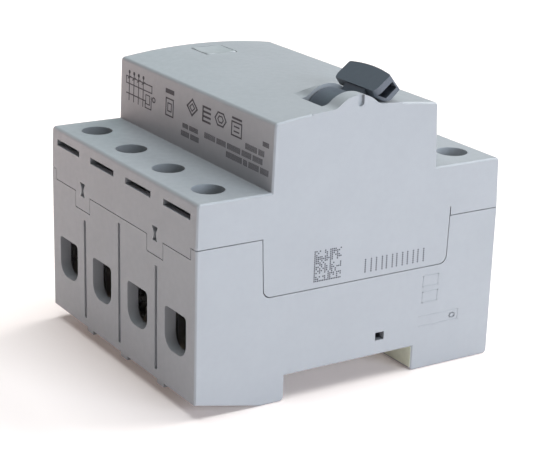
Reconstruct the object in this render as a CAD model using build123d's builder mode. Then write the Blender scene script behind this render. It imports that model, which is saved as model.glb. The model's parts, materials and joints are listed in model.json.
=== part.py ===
from build123d import *
import os
from math import cos, radians, sin

# Four-pole residual current device for a 35 mm rail, in millimetres.
# X runs across the poles, Y from the line terminals (-Y) to the load terminals (+Y),
# Z from the rail side up to the front. The origin is the centre of the footprint.

os.makedirs("parts", exist_ok=True)

# ---------------------------------------------------------------- driving dimensions
MODULE = 17.8
POLES = 4
WIDTH = POLES * MODULE
LENGTH = 82.8
SHOULDER_Z = 50.0
FRONT_Z = 67.0
FRONT_EDGE_Z = 65.4
BLOCK_Y = (-22.7, 22.2)
WALL = 1.6
SEAM_GAP = 0.2
OVERLAP = 0.1
CLEAR = 1.0

RAIL_SLOT_Y = (-17.8, 18.0)
RAIL_SLOT_DEPTH = 6.2

SEAM_Z = 39.7
LOAD_SEAM_Z = 37.6
TERMINAL_SEAM_Z = 37.1
TONGUE_Z = 33.1
TONGUE_WIDTH = 7.5
TONGUE_X = (-18.75, 17.25)
END_TAB_Y = (-24.8, 27.1)
END_TAB_Z = 25.9

TERMINAL_Y = 33.5
CABLE_WIDTH = 9.6
CABLE_Z = (13.0, 23.0)
COLLAR_DEPTH = 3.0
DRIVER_HOLE_R = 3.75
BAR_Z = (23.6, 25.4)
BAR_WIDTH = 8.0

PIVOT_Y = -0.8
PIVOT_Z = 62.2
DRUM_R = 6.5
HUMP_R = 7.3
TOGGLE_X = (23.5, 31.6)
TOGGLE_GAP = 0.3
TOGGLE_REST = 39.0
HANDLE_X = (19.3, 35.1)

BUTTON_X = -27.0
BUTTON_Y = -0.8
BUTTON_SIZE = 8.4
BUTTON_GAP = 0.25

SHAFT_Y = -7.0
SHAFT_Z = 19.5
SHAFT_R = 4.0
CONTACT_OPEN = 16.0
LEVER_X = (22.0, 24.2)
LEVER_REACH = 11.6

CORE_Z = 27.0
CORE_Y = (4.0, 16.0)
CORE_R = (6.5, 15.5)
CORE_GAP = 0.1
REST_GAP = 0.1
WIRE_R = 1.3

FRAME_X = (19.6, 33.8)
FRAME_T = 1.0
TRIP_Y = 6.5
TRIP_Z = 40.0
RELAY_Y = (9.0, 19.6)
RELAY_Z = (40.0, 55.0)

CLIP_X = (-17.8, 17.8)
CLIP_WIDTH = 12.0
CLIP_FOOT_Z = 0.4
CLIP_Z = (1.8, 4.9)

# ---------------------------------------------------------------- values worked out
HALF_W = WIDTH / 2
HALF_L = LENGTH / 2
INSIDE_X = HALF_W - WALL
INSIDE_Y = HALF_L - WALL
POLE_X = [MODULE * (pole - (POLES - 1) / 2) for pole in range(POLES)]
PARTITION_X = [MODULE * (gap - POLES / 2) for gap in range(1, POLES)]
SIDES = {"line": -1, "load": 1}
FLOOR_Z = RAIL_SLOT_DEPTH + WALL
CABLE_MIDDLE_Z = sum(CABLE_Z) / 2
BAR_MIDDLE_Z = sum(BAR_Z) / 2
SHAFT_AXIS = Axis((0, SHAFT_Y, SHAFT_Z), (1, 0, 0))


def save(builder, label):
    """Name a finished piece and write it to its own STEP file."""
    builder.part.label = label
    export_step(builder.part, f"parts/{label}.step")


def block(x, y, z, mode=Mode.ADD):
    """A box given by its lowest and highest X, Y and Z."""
    centre = ((x[0] + x[1]) / 2, (y[0] + y[1]) / 2, (z[0] + z[1]) / 2)
    with Locations(centre):
        Box(x[1] - x[0], y[1] - y[0], z[1] - z[0], mode=mode)


def span(centre, width):
    """The two ends of a width about its centre."""
    return (centre - width / 2, centre + width / 2)


def around(centre, reach_back, reach_on):
    """A range that reaches different distances below and above a point."""
    return (centre - reach_back, centre + reach_on)


def side_span(side, inner, outer):
    """A Y range that lies between two distances from the middle, on one side."""
    return tuple(sorted((side * inner, side * outer)))


def rod(start, end, radius, mode=Mode.ADD):
    """A straight round bar between two points."""
    direction = Vector(*end) - Vector(*start)
    with BuildSketch(Plane(origin=start, z_dir=direction)) as section:
        Circle(radius)
    extrude(section.sketch, amount=direction.length, mode=mode)


def crossbar(x, y, z, radius, mode=Mode.ADD):
    """A round bar along X at one Y and Z."""
    rod((x[0], y, z), (x[1], y, z), radius, mode)


def coil_spring(start, direction, length, radius, wire_r, turns):
    """A round-wire helical spring that begins at a point and runs along a direction."""
    with BuildPart() as spring:
        with BuildLine() as path:
            Helix(length / turns, length, radius, center=start, direction=direction)
        with BuildSketch(Plane(origin=path.line @ 0, z_dir=path.line % 0)):
            Circle(wire_r)
        sweep(is_frenet=True)
    return spring.part


def wire(points, radius, bends):
    """A round wire that follows a route with rounded corners."""
    with BuildPart() as run:
        with BuildLine() as path:
            FilletPolyline(*points, radius=bends)
        with BuildSketch(Plane(origin=path.line @ 0, z_dir=path.line % 0)):
            Circle(radius)
        sweep()
    return run.part


# ---------------------------------------------------------------- housing outline
FOOT_BEVEL_Y = -24.0
FOOT_SHOULDER = (-41.1, 3.7)
CORNER_R = 1.0
END_CHAMFER = 0.35
LINE_DRAFT = 0.2
LOAD_DRAFT = 0.6
LINE_BLOCK_DRAFT = 0.35
LOAD_BLOCK_DRAFT = 0.8


def housing_outline():
    """The end profile of the housing, in (Y, Z), with its rounded long edges."""
    slot_left, slot_right = RAIL_SLOT_Y
    with BuildSketch() as outline:
        with BuildLine():
            lower = Polyline(
                (BLOCK_Y[0] + LINE_BLOCK_DRAFT, FRONT_EDGE_Z),
                (BLOCK_Y[0], SHOULDER_Z),
                (-HALF_L + LINE_DRAFT, SHOULDER_Z),
                (-HALF_L, SEAM_Z),
                FOOT_SHOULDER,
                (FOOT_BEVEL_Y, 0),
                (slot_left, 0),
                (slot_left, RAIL_SLOT_DEPTH),
                (slot_right, RAIL_SLOT_DEPTH),
                (slot_right, 0),
                (HALF_L, 0),
                (HALF_L, LOAD_SEAM_Z),
                (HALF_L - LOAD_DRAFT, SHOULDER_Z),
                (BLOCK_Y[1], SHOULDER_Z),
                (BLOCK_Y[1] - LOAD_BLOCK_DRAFT, FRONT_EDGE_Z),
            )
            ThreePointArc(lower @ 1, (PIVOT_Y, FRONT_Z), lower @ 0)
        make_face()
        corners = outline.vertices()
        rounded = [v for v in corners if v.Y > FRONT_EDGE_Z - OVERLAP or v.Y < OVERLAP]
        rounded += [v for v in corners if v.Y > SHOULDER_Z - OVERLAP and abs(v.X) > HALF_L - CLEAR]
        fillet(rounded, CORNER_R)
    return outline.sketch


with BuildPart() as envelope:
    with BuildSketch(Plane.YZ):
        add(housing_outline())
    extrude(amount=HALF_W, both=True)
    end_edges = envelope.edges().filter_by_position(Axis.X, -HALF_W, -HALF_W)
    end_edges += envelope.edges().filter_by_position(Axis.X, HALF_W, HALF_W)
    chamfer(end_edges, END_CHAMFER)

with BuildPart() as cavity:
    with BuildSketch(Plane.YZ):
        add(housing_outline())
        offset(amount=-WALL, kind=Kind.INTERSECTION, mode=Mode.REPLACE)
    extrude(amount=INSIDE_X, both=True)


TAB_DRAFT = (0.7, 0.4)
TAB_CORNER_R = 2.0
TAB_TOP_Z = SEAM_Z + 2
TAB_LAP = 0.2
TERMINAL_SEAM_INSET = 2.3


def end_tab_outline(grow):
    """The U-shaped tab that the cover hangs over each end wall, in (Y, Z)."""
    left, right = END_TAB_Y
    low = END_TAB_Z - grow
    with BuildSketch() as outline:
        with BuildLine():
            Polyline(
                (left - grow, TAB_TOP_Z),
                (left + TAB_DRAFT[0] - grow, low),
                (right - TAB_DRAFT[1] + grow, low),
                (right + grow, TAB_TOP_Z),
                close=True,
            )
        make_face()
        fillet([v for v in outline.vertices() if v.Y < END_TAB_Z + CLEAR], TAB_CORNER_R)
    return outline.sketch


def cover_zone(grow):
    """The space that belongs to the cover. The base is cut back from it by the seam gap."""
    deep = HALF_L + CLEAR
    wide = HALF_W + CLEAR
    high = PIVOT_Z + HUMP_R + CLEAR
    with BuildPart() as zone:
        block((-wide, wide), (-deep, deep), (SEAM_Z - grow, high))
        block(
            (-wide, wide),
            (END_TAB_Y[1] - grow, deep),
            (LOAD_SEAM_Z - grow, high),
        )
        middle = span(0, WIDTH - 2 * TERMINAL_SEAM_INSET + 2 * grow)
        block(middle, (-deep, -INSIDE_Y + CLEAR), (TERMINAL_SEAM_Z - grow, high))
        for centre in TONGUE_X:
            for side in SIDES.values():
                block(
                    span(centre, TONGUE_WIDTH + 2 * grow),
                    side_span(side, INSIDE_Y - CLEAR, deep),
                    (TONGUE_Z - grow, high),
                )
        for direction in (-1, 1):
            with BuildSketch(Plane.YZ.offset(direction * (INSIDE_X - TAB_LAP))):
                add(end_tab_outline(grow))
            extrude(amount=direction * (WALL + TAB_LAP + CLEAR))
    return zone.part


# ---------------------------------------------------------------- housing base
PARTITION_T = 1.4
DOUBLE_WALL_T = 3.2
GROOVE_WIDTH = 1.1
GROOVE_DEPTH = 2.4
GROOVE_TOPS = (30.8, 35.5, 30.8)
GROOVE_BOTTOM = 5.8
GROOVE_TOP_LIMIT = TONGUE_Z + 2.4
CROSS_WALL_Y = (25.6, 27.0)
CROSS_WALL_DROP = 1.5
BASE_TOP = SEAM_Z - 0.5
DOUBLE_WALL_TOP = TERMINAL_SEAM_Z - 4.6
LOW_PARTITION_DROP = 4.0
LOW_PARTITION_END = -3.5
PARTITION_INSET = 2.0
COLLAR_T = 1.4
CABLE_CORNERS = (1.0, 3.5)
BAR_PORT_GAP = (0.2, 0.6)
CATCH_WIDTH = 2.4
CATCH_DEPTH = (1.9, 0.3)
CATCH_Z = (30.1, 37.9)
WINDOW_Z = 38.2
SHAFT_CLEARANCE = 0.4
BEARING_R = 2.6
CRADLE_X = 32.2
CRADLE_WIDTH = 9.0
CRADLE_RISE = 4.0
CORE_SEAT_WIDTH = 22.0
CORE_SEAT_TOP = CORE_Z - 10.0
PEDESTAL_Y = (10.0, 18.0)
FRAME_FOOT_Z = 26.1
SLOT_HOOK = 1.3
SLOT_HOOK_Z = (0.8, 4.9)
CHANNEL_GAP = (0.2, 0.3)
CHANNEL_SLOT = CLIP_WIDTH - 2.0
SPRING_RIB_Y = (32.0, 33.4)
SPRING_RIB_WIDTH = 4.4
POCKET_X = ((-33.4, -26.4), (-9.2, -1.0), (1.0, 9.2), (26.4, 33.4))
POCKET_TOP = 5.4
END_HOLE_Y = (7.1, 9.6)
END_HOLE_Z = (9.8, 11.8)


def cable_outline(grow=0.0):
    """A cable opening: square shoulders above, wide round corners below."""
    height = CABLE_Z[1] - CABLE_Z[0] + 2 * grow
    width = CABLE_WIDTH + 2 * grow
    with BuildSketch() as outline:
        Rectangle(width, height)
        fillet([v for v in outline.vertices() if v.Y > 0], CABLE_CORNERS[0])
        fillet([v for v in outline.vertices() if v.Y < 0], CABLE_CORNERS[1])
    return outline.sketch


def terminal_plane(x, side, z, y=0.0):
    """A vertical plane that looks out of one terminal face, centred at x and z."""
    return Plane(origin=(x, side * y, z), x_dir=(-side, 0, 0), z_dir=(0, side, 0))


with BuildPart() as housing_base:
    add(envelope.part)
    add(cavity.part, mode=Mode.SUBTRACT)
    # the load-side foot is solid above its clip channels
    block(span(0, 2 * INSIDE_X), (RAIL_SLOT_Y[1] + WALL / 2, INSIDE_Y), (WALL, FLOOR_Z))
    add(cover_zone(SEAM_GAP / 2), mode=Mode.SUBTRACT)
    # walls between the poles: double at the terminals, single at the contacts
    for x in PARTITION_X:
        for side in SIDES.values():
            block(
                span(x, DOUBLE_WALL_T),
                side_span(side, CROSS_WALL_Y[0], INSIDE_Y + OVERLAP),
                (WALL, DOUBLE_WALL_TOP),
            )
            block(
                span(x, PARTITION_T),
                side_span(side, CROSS_WALL_Y[0], INSIDE_Y - PARTITION_INSET),
                (DOUBLE_WALL_TOP - OVERLAP, BASE_TOP),
            )
        block(
            span(x, PARTITION_T),
            (-CROSS_WALL_Y[1], LOW_PARTITION_END),
            (FLOOR_Z - OVERLAP, BASE_TOP - LOW_PARTITION_DROP),
        )
    # cross walls between terminal chambers and the middle of the device
    for side in SIDES.values():
        block(
            span(0, 2 * (INSIDE_X - SEAM_GAP)),
            side_span(side, *CROSS_WALL_Y),
            (WALL, BASE_TOP - CROSS_WALL_DROP),
        )
        for x in POLE_X:
            block(
                span(x, BAR_WIDTH + 2 * BAR_PORT_GAP[0]),
                side_span(side, CROSS_WALL_Y[0] - CLEAR, CROSS_WALL_Y[1] + CLEAR),
                (BAR_Z[0] - BAR_PORT_GAP[1], BAR_Z[1] + BAR_PORT_GAP[1]),
                mode=Mode.SUBTRACT,
            )
    # collars behind the cable openings
    for side in SIDES.values():
        for x in POLE_X:
            with BuildSketch(terminal_plane(x, side, CABLE_MIDDLE_Z, INSIDE_Y + OVERLAP)):
                add(cable_outline(COLLAR_T))
            extrude(amount=-(COLLAR_DEPTH - WALL + OVERLAP))
            with BuildSketch(terminal_plane(x, side, CABLE_MIDDLE_Z, HALF_L + CLEAR)):
                add(cable_outline())
            extrude(amount=-(COLLAR_DEPTH + 2 * CLEAR), mode=Mode.SUBTRACT)
    # grooves between the terminals
    for x, top in zip(PARTITION_X, GROOVE_TOPS):
        for side in SIDES.values():
            block(
                span(x, GROOVE_WIDTH),
                side_span(side, HALF_L - GROOVE_DEPTH, HALF_L + CLEAR),
                (GROOVE_BOTTOM, min(top, GROOVE_TOP_LIMIT)),
                mode=Mode.SUBTRACT,
            )
    # catches that the cover's tongues snap over
    for centre in TONGUE_X:
        for side in SIDES.values():
            block(
                span(centre, CATCH_WIDTH),
                side_span(side, INSIDE_Y - CATCH_DEPTH[0], INSIDE_Y - CATCH_DEPTH[1]),
                CATCH_Z,
            )
    # shaft openings in the partitions and cradles at the ends
    for x in PARTITION_X:
        block(
            span(x, PARTITION_T + 2 * CLEAR),
            span(SHAFT_Y, 2 * (SHAFT_R + SHAFT_CLEARANCE)),
            (SHAFT_Z, BASE_TOP),
            mode=Mode.SUBTRACT,
        )
        crossbar(
            span(x, PARTITION_T + 2 * CLEAR), SHAFT_Y, SHAFT_Z, SHAFT_R + SHAFT_CLEARANCE,
            mode=Mode.SUBTRACT,
        )
    for direction in (-1, 1):
        cradle = side_span(direction, CRADLE_X, INSIDE_X + OVERLAP)
        block(cradle, span(SHAFT_Y, CRADLE_WIDTH), (FLOOR_Z - OVERLAP, SHAFT_Z + CRADLE_RISE))
        block(
            side_span(direction, CRADLE_X, INSIDE_X),
            span(SHAFT_Y, 2 * BEARING_R),
            (SHAFT_Z, SHAFT_Z + CRADLE_RISE + CLEAR),
            mode=Mode.SUBTRACT,
        )
        crossbar(
            side_span(direction, CRADLE_X - CLEAR, INSIDE_X), SHAFT_Y, SHAFT_Z, BEARING_R,
            mode=Mode.SUBTRACT,
        )
    # seat of the current transformer
    block(
        span(0, CORE_SEAT_WIDTH),
        (CORE_Y[0] + CLEAR, CORE_Y[1] - CLEAR),
        (FLOOR_Z - OVERLAP, CORE_SEAT_TOP),
    )
    rod((0, CORE_Y[0], CORE_Z), (0, CORE_Y[1], CORE_Z), CORE_R[1] + CORE_GAP, mode=Mode.SUBTRACT)
    # pedestal of the mechanism frame
    block(FRAME_X, PEDESTAL_Y, (FLOOR_Z - OVERLAP, FRAME_FOOT_Z - REST_GAP))
    # fixed rail hooks on the line side
    for x in CLIP_X:
        block(span(x, CLIP_WIDTH), around(RAIL_SLOT_Y[0], WALL / 2, SLOT_HOOK), SLOT_HOOK_Z)
    # T-shaped channels for the rail clips, with the rib that each spring bears on
    for x in CLIP_X:
        channel_y = (RAIL_SLOT_Y[1] - CLEAR, HALF_L + CLEAR)
        channel_z = (CLIP_Z[0] - CHANNEL_GAP[0], CLIP_Z[1] + CHANNEL_GAP[1])
        block(span(x, CLIP_WIDTH + 2 * CHANNEL_GAP[1]), channel_y, channel_z, mode=Mode.SUBTRACT)
        block(span(x, CHANNEL_SLOT), channel_y, (-CLEAR, CLIP_Z[0]), mode=Mode.SUBTRACT)
        rib_z = (CLIP_Z[0] + CHANNEL_GAP[0], channel_z[1] + CHANNEL_GAP[1])
        block(span(x, SPRING_RIB_WIDTH), SPRING_RIB_Y, rib_z)
    # lightening pockets in the underside of the load-side foot
    for pocket in POCKET_X:
        block(pocket, (RAIL_SLOT_Y[1] + WALL, INSIDE_Y), (-CLEAR, POCKET_TOP), mode=Mode.SUBTRACT)
    # small square hole in each end wall
    for direction in (-1, 1):
        block(
            side_span(direction, INSIDE_X - CLEAR, HALF_W + CLEAR), END_HOLE_Y, END_HOLE_Z,
            mode=Mode.SUBTRACT,
        )
save(housing_base, "housing_base")

# ---------------------------------------------------------------- housing cover
BUSBAR_SLOT_WIDTH = 12.0
BUSBAR_SLOT_Z = (45.8, 47.3)
BUSBAR_SLOT_DEPTH = 2.2
BOSS_R = 5.0
BOSS_BOTTOM = 43.4
HUMP_FILLET = 3.0
HUMP_RAMP_X = 19.2
HUMP_ROOT_WIDTH = 24.0
HUMP_TOP_Z = PIVOT_Z + HUMP_R
RAMP_ROOT = 0.05
TOGGLE_OPENING = (7.15, 7.7)
BUTTON_HOLE_R = 1.0
AXLE_NOTCH_DEPTH = 0.8
AXLE_NOTCH_R = 0.85
AXLE_NOTCH = (-0.15, 67.7)
WINDOW_DEPTH = WALL + 1.5


def hump_outline():
    """The arch beside the toggle, blended into the front face, in (Y, Z)."""
    with BuildSketch() as outline:
        add(housing_outline())
        with Locations((PIVOT_Y, PIVOT_Z)):
            Circle(HUMP_R)
        valleys = outline.vertices().filter_by_position(Axis.Y, FRONT_Z - WALL, FRONT_Z)
        fillet(valleys.filter_by_position(Axis.X, *span(PIVOT_Y, 2 * HUMP_R)), HUMP_FILLET)
        with Locations((PIVOT_Y, FRONT_Z - WALL)):
            Rectangle(HUMP_ROOT_WIDTH, HUMP_R, align=(Align.CENTER, Align.MIN), mode=Mode.INTERSECT)
    return outline.sketch


WINDOW_HALF = 1.7
WINDOW_TOP_HALF = 1.35
WINDOW_FOOT_HALF = 1.1
WINDOW_WAIST_HALF = 0.55
WINDOW_WAIST_Z = (-0.6, 0.3)


def snap_window():
    """The funnel-shaped window in a tongue, in (X, Z) about the window's middle."""
    with BuildSketch() as outline:
        with BuildLine() as half:
            Polyline(
                (0, WINDOW_HALF),
                (WINDOW_TOP_HALF, WINDOW_HALF),
                (WINDOW_WAIST_HALF, WINDOW_WAIST_Z[1]),
                (WINDOW_WAIST_HALF, WINDOW_WAIST_Z[0]),
                (WINDOW_FOOT_HALF, -WINDOW_HALF),
                (0, -WINDOW_HALF),
            )
            mirror(half.line, about=Plane.YZ)
        make_face()
    return outline.sketch


with BuildPart() as housing_cover:
    add(envelope.part)
    add(cavity.part, mode=Mode.SUBTRACT)
    add(cover_zone(-SEAM_GAP / 2), mode=Mode.INTERSECT)
    # arches on both sides of the toggle, the far one with a ramp
    with BuildSketch(Plane.YZ.offset(HUMP_RAMP_X)):
        add(hump_outline())
    extrude(amount=HALF_W - HUMP_RAMP_X)
    with BuildSketch(Plane.XZ.offset(-PIVOT_Y)):
        with BuildLine():
            Polyline(
                (HUMP_RAMP_X, FRONT_Z - RAMP_ROOT),
                (TOGGLE_X[0], HUMP_TOP_Z),
                (TOGGLE_X[0], HUMP_TOP_Z + CLEAR),
                (HUMP_RAMP_X, HUMP_TOP_Z + CLEAR),
                close=True,
            )
        make_face()
    extrude(amount=HUMP_ROOT_WIDTH / 2 + CLEAR, both=True, mode=Mode.SUBTRACT)
    # toggle opening, button opening and the axle notch in the near arch
    through_front = (FRONT_Z - 2 * WALL, HUMP_TOP_Z + CLEAR)
    block(TOGGLE_X, around(PIVOT_Y, *TOGGLE_OPENING), through_front, mode=Mode.SUBTRACT)
    with BuildSketch(Plane.XY.offset(through_front[0])):
        with Locations((BUTTON_X, BUTTON_Y)):
            Rectangle(BUTTON_SIZE + 2 * BUTTON_GAP, BUTTON_SIZE + 2 * BUTTON_GAP)
        fillet(vertices(), BUTTON_HOLE_R)
    extrude(amount=through_front[1] - through_front[0], mode=Mode.SUBTRACT)
    notch_x = (HALF_W - AXLE_NOTCH_DEPTH, HALF_W + CLEAR)
    notch_y, notch_z = AXLE_NOTCH
    block(notch_x, span(notch_y, 2 * AXLE_NOTCH_R), (notch_z, HUMP_TOP_Z + CLEAR), mode=Mode.SUBTRACT)
    crossbar(notch_x, notch_y, notch_z, AXLE_NOTCH_R, mode=Mode.SUBTRACT)
    # walls between the terminals
    for x in PARTITION_X:
        for side in SIDES.values():
            block(
                span(x, PARTITION_T),
                side_span(side, CROSS_WALL_Y[1], INSIDE_Y + OVERLAP),
                (SEAM_Z + SEAM_GAP / 2, SHOULDER_Z - WALL + OVERLAP),
            )
    for side in SIDES.values():
        for x in POLE_X:
            axis_y = side * TERMINAL_Y
            # screwdriver guide
            rod((x, axis_y, BOSS_BOTTOM), (x, axis_y, SHOULDER_Z - WALL + OVERLAP), BOSS_R)
            rod(
                (x, axis_y, BOSS_BOTTOM - CLEAR), (x, axis_y, SHOULDER_Z + CLEAR), DRIVER_HOLE_R,
                mode=Mode.SUBTRACT,
            )
            # busbar slot
            block(
                span(x, BUSBAR_SLOT_WIDTH),
                side_span(side, HALF_L - BUSBAR_SLOT_DEPTH, HALF_L + CLEAR),
                BUSBAR_SLOT_Z,
                mode=Mode.SUBTRACT,
            )
        for centre in TONGUE_X:
            with BuildSketch(terminal_plane(centre, side, WINDOW_Z, HALF_L + CLEAR)):
                add(snap_window())
            extrude(amount=-WINDOW_DEPTH, mode=Mode.SUBTRACT)
save(housing_cover, "housing_cover")

# ---------------------------------------------------------------- toggle
LEVER_PLANE = Plane(
    origin=(0, PIVOT_Y, PIVOT_Z),
    x_dir=(0, cos(radians(TOGGLE_REST)), sin(radians(TOGGLE_REST))),
    z_dir=(1, 0, 0),
)
DRUM_X = (TOGGLE_X[0] + TOGGLE_GAP, TOGGLE_X[1] - TOGGLE_GAP)
CRANK_R = 5.0
CRANK_ANGLE = 200.0
CRANK_WEB_X = 28.8
CUT_ANGLES = (150.0, 230.0, 311.0)
CUT_REACH = (12.0, 16.0, 12.0)
SPRING_POCKET_R = 4.6
SPRING_POCKET_DEPTH = 2.2
NECK_FRONT = ((4.0, 1.9), (6.3, 2.1), (8.0, 2.75), (9.2, 2.75))
NECK_BACK = ((9.2, -0.9), (7.9, -0.9), (6.1, -1.5), (4.0, -1.5))
PIN_R = 1.2
PIN_CLEARANCE = 0.06
LINK_R = 0.8
HANDLE_ROOT_U = 8.15
HANDLE_TIP_U = 13.5
HANDLE_BULGE = 0.8
HANDLE_FACE_N = 3.05
HANDLE_END_U = 14.6
HANDLE_DRAFT = 0.15
HANDLE_BACK = ((HANDLE_END_U, -1.45), (10.1, -1.8), (8.6, -0.5), (7.75, 1.3))
HANDLE_BACK_R = 0.8
HANDLE_ROOT_R = 2.2
HANDLE_TIP_R = 0.6
HOLLOW_U = (8.45, 9.5, 13.0)
HOLLOW_N = (-0.5, 1.4)
HOLLOW_END_WALL = 1.8
SLEEVE_R = 2.6
LINK_CLEARANCE = 0.1


def lever_plane(x):
    """The plane of the lever's profile at one X, with u along the lever and n across it."""
    return LEVER_PLANE.offset(x)


def on_crank(angle, radius):
    """A point of the toggle's crank, in (Y, Z)."""
    return (PIVOT_Y + radius * cos(radians(angle)), PIVOT_Z + radius * sin(radians(angle)))


with BuildPart() as toggle:
    # drum, cut away below so that the link can pass
    crossbar(DRUM_X, PIVOT_Y, PIVOT_Z, DRUM_R)
    with BuildSketch(Plane.YZ.offset(CRANK_WEB_X)):
        with BuildLine():
            sector = [on_crank(angle, reach) for angle, reach in zip(CUT_ANGLES, CUT_REACH)]
            Polyline((PIVOT_Y, PIVOT_Z), *sector, close=True)
        make_face()
    extrude(amount=TOGGLE_X[1] - CRANK_WEB_X, mode=Mode.SUBTRACT)
    crossbar(DRUM_X, PIVOT_Y, PIVOT_Z, SLEEVE_R)
    # room for the return spring on the far side
    with BuildSketch(Plane.YZ.offset(DRUM_X[0])):
        with Locations((PIVOT_Y, PIVOT_Z)):
            Circle(SPRING_POCKET_R)
            Circle(SLEEVE_R, mode=Mode.SUBTRACT)
    extrude(amount=SPRING_POCKET_DEPTH, mode=Mode.SUBTRACT)
    # neck
    with BuildSketch(lever_plane(DRUM_X[0])):
        with BuildLine():
            Polyline(*NECK_FRONT, *NECK_BACK, close=True)
        make_face()
    extrude(amount=DRUM_X[1] - DRUM_X[0])
    crossbar(TOGGLE_X, PIVOT_Y, PIVOT_Z, PIN_R + PIN_CLEARANCE, mode=Mode.SUBTRACT)
    crossbar(
        (TOGGLE_X[0], CRANK_WEB_X + CLEAR), *on_crank(CRANK_ANGLE, CRANK_R), LINK_R + LINK_CLEARANCE,
        mode=Mode.SUBTRACT,
    )

with BuildPart() as handle:
    # section across the handle
    with BuildSketch(lever_plane(HANDLE_X[0])) as section:
        with BuildLine():
            Polyline(
                (HANDLE_ROOT_U, HANDLE_FACE_N),
                (HANDLE_END_U, HANDLE_FACE_N - HANDLE_DRAFT),
                *HANDLE_BACK,
                close=True,
            )
        make_face()
        fillet([v for v in section.vertices() if v.X > NECK_FRONT[-1][0] and v.Y < 0], HANDLE_BACK_R)
    extrude(amount=HANDLE_X[1] - HANDLE_X[0])
    # front view of the handle: round root corners and a bowed tip
    low, high = HANDLE_X
    middle = (low + high) / 2
    front_view = Plane(origin=LEVER_PLANE.origin, x_dir=(1, 0, 0), z_dir=LEVER_PLANE.y_dir)
    with BuildSketch(front_view) as face:
        with BuildLine():
            sides = Polyline(
                (low, HANDLE_TIP_U),
                (low, HANDLE_ROOT_U - HANDLE_TIP_R),
                (high, HANDLE_ROOT_U - HANDLE_TIP_R),
                (high, HANDLE_TIP_U),
            )
            ThreePointArc(sides @ 1, (middle, HANDLE_TIP_U + HANDLE_BULGE), sides @ 0)
        make_face()
        fillet([v for v in face.vertices() if v.Y < HANDLE_ROOT_U], HANDLE_ROOT_R)
        fillet([v for v in face.vertices() if v.Y > HANDLE_TIP_U - CLEAR], HANDLE_TIP_R)
    extrude(amount=HANDLE_END_U, both=True, mode=Mode.INTERSECT)
    # hollow from the near end
    with BuildSketch(lever_plane(HANDLE_X[1])):
        with BuildLine():
            Polyline(
                (HOLLOW_U[0], HOLLOW_N[1]),
                (HOLLOW_U[2], HOLLOW_N[1]),
                (HOLLOW_U[2], HOLLOW_N[0]),
                (HOLLOW_U[1], HOLLOW_N[0]),
                close=True,
            )
        make_face()
    extrude(amount=-(HANDLE_X[1] - HANDLE_X[0] - HOLLOW_END_WALL), mode=Mode.SUBTRACT)

with BuildPart() as toggle_whole:
    add(toggle.part)
    add(handle.part)
save(toggle_whole, "toggle")

TOGGLE_SPRING_X = (21.2, 24.8)

with BuildPart() as toggle_spring:
    add(
        coil_spring(
            start=(TOGGLE_SPRING_X[0], PIVOT_Y, PIVOT_Z),
            direction=(1, 0, 0),
            length=TOGGLE_SPRING_X[1] - TOGGLE_SPRING_X[0],
            radius=2.3,
            wire_r=0.35,
            turns=4,
        )
    )
save(toggle_spring, "toggle_spring")

# ---------------------------------------------------------------- mechanism frame
TRIP_PIN_R = 0.8
PIN_END = 0.15
TRIP_LEVER_X = (22.0, 31.4)
TRIP_LEVER_T = 1.6
TRIP_TOP_Z = 50.0
TRIP_TOE_Z = 26.0
TRIP_HUB_R = 1.9
TRIP_TOE_T = 1.6
TRIP_TOE_REACH = 3.0
TRIP_HUB_DROP = 3.0
TRIP_WINDOW_X = (24.6, 28.0)
TRIP_WINDOW = (4.8, 4.2)
TRIP_SPRING_X = (24.9, 27.1)
CHEEK_TOP_HALF = 3.5
CHEEK_RISE = 2.4
CHEEK_Y = (-5.5, 3.6, 8.5, 9.5, 18.5, 20.2)
CHEEK_Z = (38.5, 52.0, 57.0)
CHEEK_HOLE = (16.5, 51.0)
CHEEK_HOLE_R = 1.8
FRAME_STRAP_Y = (11.0, 18.5)
RELAY_STRAP_Y = (11.0, 18.0)


def cheek_outline():
    """One cheek of the mechanism frame, in (Y, Z)."""
    with BuildSketch() as outline:
        with BuildLine():
            Polyline(
                (PIVOT_Y - CHEEK_TOP_HALF, PIVOT_Z + CHEEK_RISE),
                (PIVOT_Y + CHEEK_TOP_HALF, PIVOT_Z + CHEEK_RISE),
                (CHEEK_Y[2], CHEEK_Z[2]),
                (CHEEK_Y[5], CHEEK_Z[2]),
                (CHEEK_Y[5], CHEEK_Z[0]),
                (CHEEK_Y[4], FRAME_FOOT_Z),
                (CHEEK_Y[3], FRAME_FOOT_Z),
                (CHEEK_Y[1], CHEEK_Z[0]),
                (CHEEK_Y[0], CHEEK_Z[1]),
                close=True,
            )
        make_face()
        with Locations((PIVOT_Y, PIVOT_Z)):
            Circle(PIN_R, mode=Mode.SUBTRACT)
        with Locations((TRIP_Y, TRIP_Z)):
            Circle(TRIP_PIN_R, mode=Mode.SUBTRACT)
        with Locations(CHEEK_HOLE):
            Circle(CHEEK_HOLE_R, mode=Mode.SUBTRACT)
    return outline.sketch


with BuildPart() as mechanism_frame:
    for x in (FRAME_X[0], FRAME_X[1] - FRAME_T):
        with BuildSketch(Plane.YZ.offset(x)):
            add(cheek_outline())
        extrude(amount=FRAME_T)
    block(FRAME_X, FRAME_STRAP_Y, (FRAME_FOOT_Z, FRAME_FOOT_Z + FRAME_T))
    block(FRAME_X, RELAY_STRAP_Y, (RELAY_Z[0] - REST_GAP - FRAME_T, RELAY_Z[0] - REST_GAP))
save(mechanism_frame, "mechanism_frame")

with BuildPart() as mechanism_pins:
    for y, z, radius in ((PIVOT_Y, PIVOT_Z, PIN_R), (TRIP_Y, TRIP_Z, TRIP_PIN_R)):
        crossbar((FRAME_X[0] - PIN_END, FRAME_X[1] + PIN_END), y, z, radius)
save(mechanism_pins, "mechanism_pins")

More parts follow.
